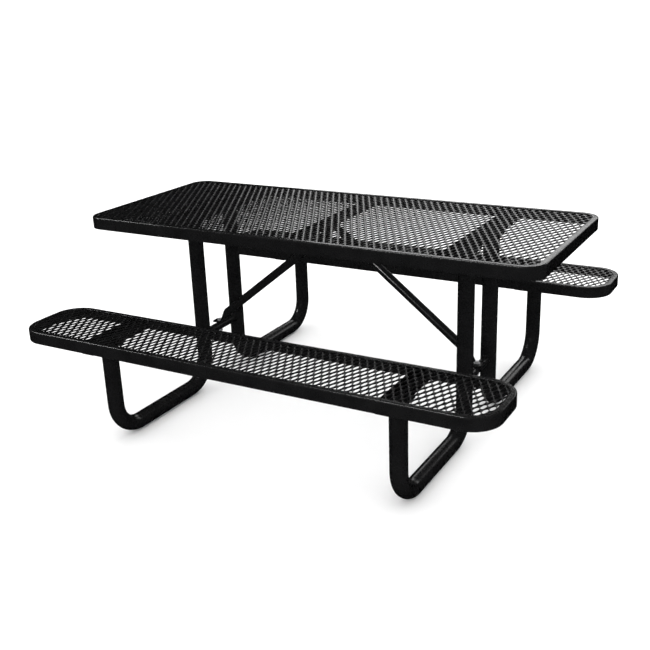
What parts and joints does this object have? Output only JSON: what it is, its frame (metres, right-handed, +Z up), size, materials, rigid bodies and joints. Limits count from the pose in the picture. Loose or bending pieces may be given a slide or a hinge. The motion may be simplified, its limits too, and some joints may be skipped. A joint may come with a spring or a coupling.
{
  "type": "picnic table",
  "caption": "Picnic table with two attached benches of coated expanded metal on bent pipe legs, braced to the middle of the top.",
  "frame": {"origin": "on the ground below the middle of the tabletop", "axes": "+X along the benches, +Y across the table from the near bench to the far bench, +Z up"},
  "size_m": [1.84, 1.5924, 0.762],
  "materials": {
    "coated_sheet": "thick glossy black thermoplastic coating on expanded and folded steel",
    "coated_pipe": "glossy black coating on steel pipe",
    "bolt_steel": "zinc plated"
  },
  "bodies": {
    "root": {"apex_bolt": "bolt_steel", "apex_nut": "bolt_steel", "brace_left": "coated_pipe", "brace_right": "coated_pipe", "centre_angle": "coated_sheet", "far_seat_expanded_metal": "coated_sheet", "far_seat_rim": "coated_sheet", "leg_pipe_far_left": "coated_pipe", "leg_pipe_far_right": "coated_pipe", "leg_pipe_near_left": "coated_pipe", "leg_pipe_near_right": "coated_pipe", "leg_plate_seat_far_left": "coated_sheet", "leg_plate_seat_far_right": "coated_sheet", "leg_plate_seat_near_left": "coated_sheet", "leg_plate_seat_near_right": "coated_sheet", "leg_plate_table_far_left": "coated_sheet", "leg_plate_table_far_right": "coated_sheet", "leg_plate_table_near_left": "coated_sheet", "leg_plate_table_near_right": "coated_sheet", "near_seat_expanded_metal": "coated_sheet", "near_seat_rim": "coated_sheet", "plate_bolt_seat_far_left_inner": "bolt_steel", "plate_bolt_seat_far_left_outer": "bolt_steel", "plate_bolt_seat_far_right_inner": "bolt_steel", "plate_bolt_seat_far_right_outer": "bolt_steel", "plate_bolt_seat_near_left_inner": "bolt_steel", "plate_bolt_seat_near_left_outer": "bolt_steel", "plate_bolt_seat_near_right_inner": "bolt_steel", "plate_bolt_seat_near_right_outer": "bolt_steel", "plate_bolt_table_far_left_inner": "bolt_steel", "plate_bolt_table_far_left_outer": "bolt_steel", "plate_bolt_table_far_right_inner": "bolt_steel", "plate_bolt_table_far_right_outer": "bolt_steel", "plate_bolt_table_near_left_inner": "bolt_steel", "plate_bolt_table_near_left_outer": "bolt_steel", "plate_bolt_table_near_right_inner": "bolt_steel", "plate_bolt_table_near_right_outer": "bolt_steel", "seat_channel_far_left": "coated_sheet", "seat_channel_far_right": "coated_sheet", "seat_channel_near_left": "coated_sheet", "seat_channel_near_right": "coated_sheet", "tabletop_expanded_metal": "coated_sheet", "tabletop_rim": "coated_sheet", "tie_bar_left": "coated_pipe", "tie_bar_right": "coated_pipe", "tie_bolt_left": "bolt_steel", "tie_bolt_right": "bolt_steel", "tie_nut_left": "bolt_steel", "tie_nut_right": "bolt_steel", "tie_washer_left": "bolt_steel", "tie_washer_right": "bolt_steel", "top_channel_left": "coated_sheet", "top_channel_right": "coated_sheet"}
  },
  "joints": []
}
